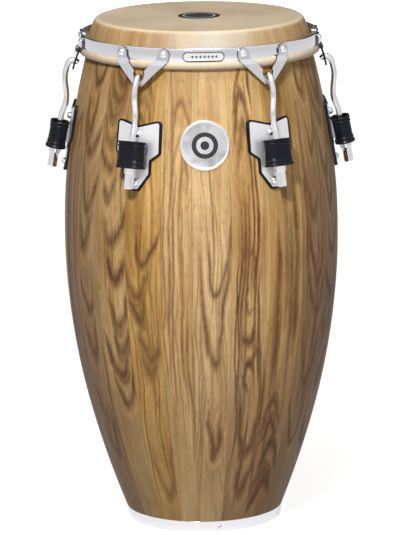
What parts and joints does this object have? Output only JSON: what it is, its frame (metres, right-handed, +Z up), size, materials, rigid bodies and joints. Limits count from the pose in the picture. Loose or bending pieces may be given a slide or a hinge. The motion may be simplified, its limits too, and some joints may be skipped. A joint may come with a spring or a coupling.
{
  "type": "conga drum",
  "caption": "Tall barrel-shaped hand drum with a wooden stave shell, a natural skin head and a chrome crown drawn down by hook rods through rubber-sleeved lugs.",
  "frame": {"origin": "centre of the foot of the drum, on the floor", "axes": "+Z up along the drum's axis; the front, with the badge and the small rim plate, faces -Y; +X is to the right seen from the front"},
  "size_m": [0.431, 0.3838, 0.7116],
  "materials": {
    "stave_wood": "satin lacquer over striped golden-brown hardwood",
    "chrome": "bright polished plate",
    "zinc_steel": "dull zinc plate",
    "lug_steel": "grey cast metal",
    "black_rubber": "matt with a soft sheen",
    "badge_metal": "brushed plate with a polished rim",
    "rawhide": "scraped natural skin, darker and translucent at the edge",
    "black_patch": "matt",
    "label_enamel": "white enamel with a black outline"
  },
  "bodies": {
    "shell": {"shell_staves": "stave_wood", "bottom_ring": "chrome", "bottom_ring_screws": "zinc_steel", "side_plates": "chrome", "plate_gaskets": "black_rubber", "plate_bolts_upper": "chrome", "plate_bolts_lower": "chrome", "backing_washers": "zinc_steel", "backing_nuts": "zinc_steel", "lug_brackets": "lug_steel", "lug_sleeves": "black_rubber", "thrust_washers": "zinc_steel", "badge": "badge_metal", "head_skin": "rawhide", "head_patch": "black_patch"},
    "crown": {"crown_band": "chrome", "v_brackets": "chrome", "bracket_rivets": "chrome", "rim_label": "label_enamel", "flesh_hoop": "zinc_steel", "head_skin_collar": "rawhide"},
    "rod_1": {"tuning_rod_1": "chrome"},
    "rod_2": {"tuning_rod_2": "chrome"},
    "rod_3": {"tuning_rod_3": "chrome"},
    "rod_4": {"tuning_rod_4": "chrome"},
    "rod_5": {"tuning_rod_5": "chrome"},
    "rod_6": {"tuning_rod_6": "chrome"},
    "nut_1": {"tuning_nut_1": "chrome"},
    "nut_2": {"tuning_nut_2": "chrome"},
    "nut_3": {"tuning_nut_3": "chrome"},
    "nut_4": {"tuning_nut_4": "chrome"},
    "nut_5": {"tuning_nut_5": "chrome"},
    "nut_6": {"tuning_nut_6": "chrome"}
  },
  "joints": [
    {"name": "crown_slide", "type": "slide", "parent": "shell", "child": "crown", "axis": [0, 0, 1], "range_m": [-0.003, 0.008], "deforming": ["head_skin_collar"]},
    {"name": "rod_1_slide", "type": "slide", "parent": "shell", "child": "rod_1", "axis": [0.0997, 0.1727, 0.9799], "range_m": [-0.00308, 0.00818]},
    {"name": "rod_2_slide", "type": "slide", "parent": "shell", "child": "rod_2", "axis": [-0.0997, 0.1727, 0.9799], "range_m": [-0.00308, 0.00818]},
    {"name": "rod_3_slide", "type": "slide", "parent": "shell", "child": "rod_3", "axis": [-0.1994, 0, 0.9799], "range_m": [-0.00308, 0.00818]},
    {"name": "rod_4_slide", "type": "slide", "parent": "shell", "child": "rod_4", "axis": [-0.0997, -0.1727, 0.9799], "range_m": [-0.00308, 0.00818]},
    {"name": "rod_5_slide", "type": "slide", "parent": "shell", "child": "rod_5", "axis": [0.0997, -0.1727, 0.9799], "range_m": [-0.00308, 0.00818]},
    {"name": "rod_6_slide", "type": "slide", "parent": "shell", "child": "rod_6", "axis": [0.1994, 0, 0.9799], "range_m": [-0.00308, 0.00818]},
    {"name": "nut_1_turn", "type": "hinge", "parent": "shell", "child": "nut_1", "pos_m": [-0.09915, -0.17173, 0.548], "axis": [0.0997, 0.1727, 0.9799], "range_deg": [-2360, 890]},
    {"name": "nut_2_turn", "type": "hinge", "parent": "shell", "child": "nut_2", "pos_m": [0.09915, -0.17173, 0.548], "axis": [-0.0997, 0.1727, 0.9799], "range_deg": [-2360, 890]},
    {"name": "nut_3_turn", "type": "hinge", "parent": "shell", "child": "nut_3", "pos_m": [0.1983, 0, 0.548], "axis": [-0.1994, 0, 0.9799], "range_deg": [-2360, 890]},
    {"name": "nut_4_turn", "type": "hinge", "parent": "shell", "child": "nut_4", "pos_m": [0.09915, 0.17173, 0.548], "axis": [-0.0997, -0.1727, 0.9799], "range_deg": [-2360, 890]},
    {"name": "nut_5_turn", "type": "hinge", "parent": "shell", "child": "nut_5", "pos_m": [-0.09915, 0.17173, 0.548], "axis": [0.0997, -0.1727, 0.9799], "range_deg": [-2360, 890]},
    {"name": "nut_6_turn", "type": "hinge", "parent": "shell", "child": "nut_6", "pos_m": [-0.1983, 0, 0.548], "axis": [0.1994, 0, 0.9799], "range_deg": [-2360, 890]}
  ],
  "couplings": [
    {"joint": "rod_1_slide", "follows": "crown_slide", "ratio": 1.0205},
    {"joint": "rod_2_slide", "follows": "crown_slide", "ratio": 1.0205},
    {"joint": "rod_3_slide", "follows": "crown_slide", "ratio": 1.0205},
    {"joint": "rod_4_slide", "follows": "crown_slide", "ratio": 1.0205},
    {"joint": "rod_5_slide", "follows": "crown_slide", "ratio": 1.0205},
    {"joint": "rod_6_slide", "follows": "crown_slide", "ratio": 1.0205},
    {"joint": "nut_1_turn", "follows": "crown_slide", "rad_per_m": -5129.5},
    {"joint": "nut_2_turn", "follows": "crown_slide", "rad_per_m": -5129.5},
    {"joint": "nut_3_turn", "follows": "crown_slide", "rad_per_m": -5129.5},
    {"joint": "nut_4_turn", "follows": "crown_slide", "rad_per_m": -5129.5},
    {"joint": "nut_5_turn", "follows": "crown_slide", "rad_per_m": -5129.5},
    {"joint": "nut_6_turn", "follows": "crown_slide", "rad_per_m": -5129.5}
  ]
}
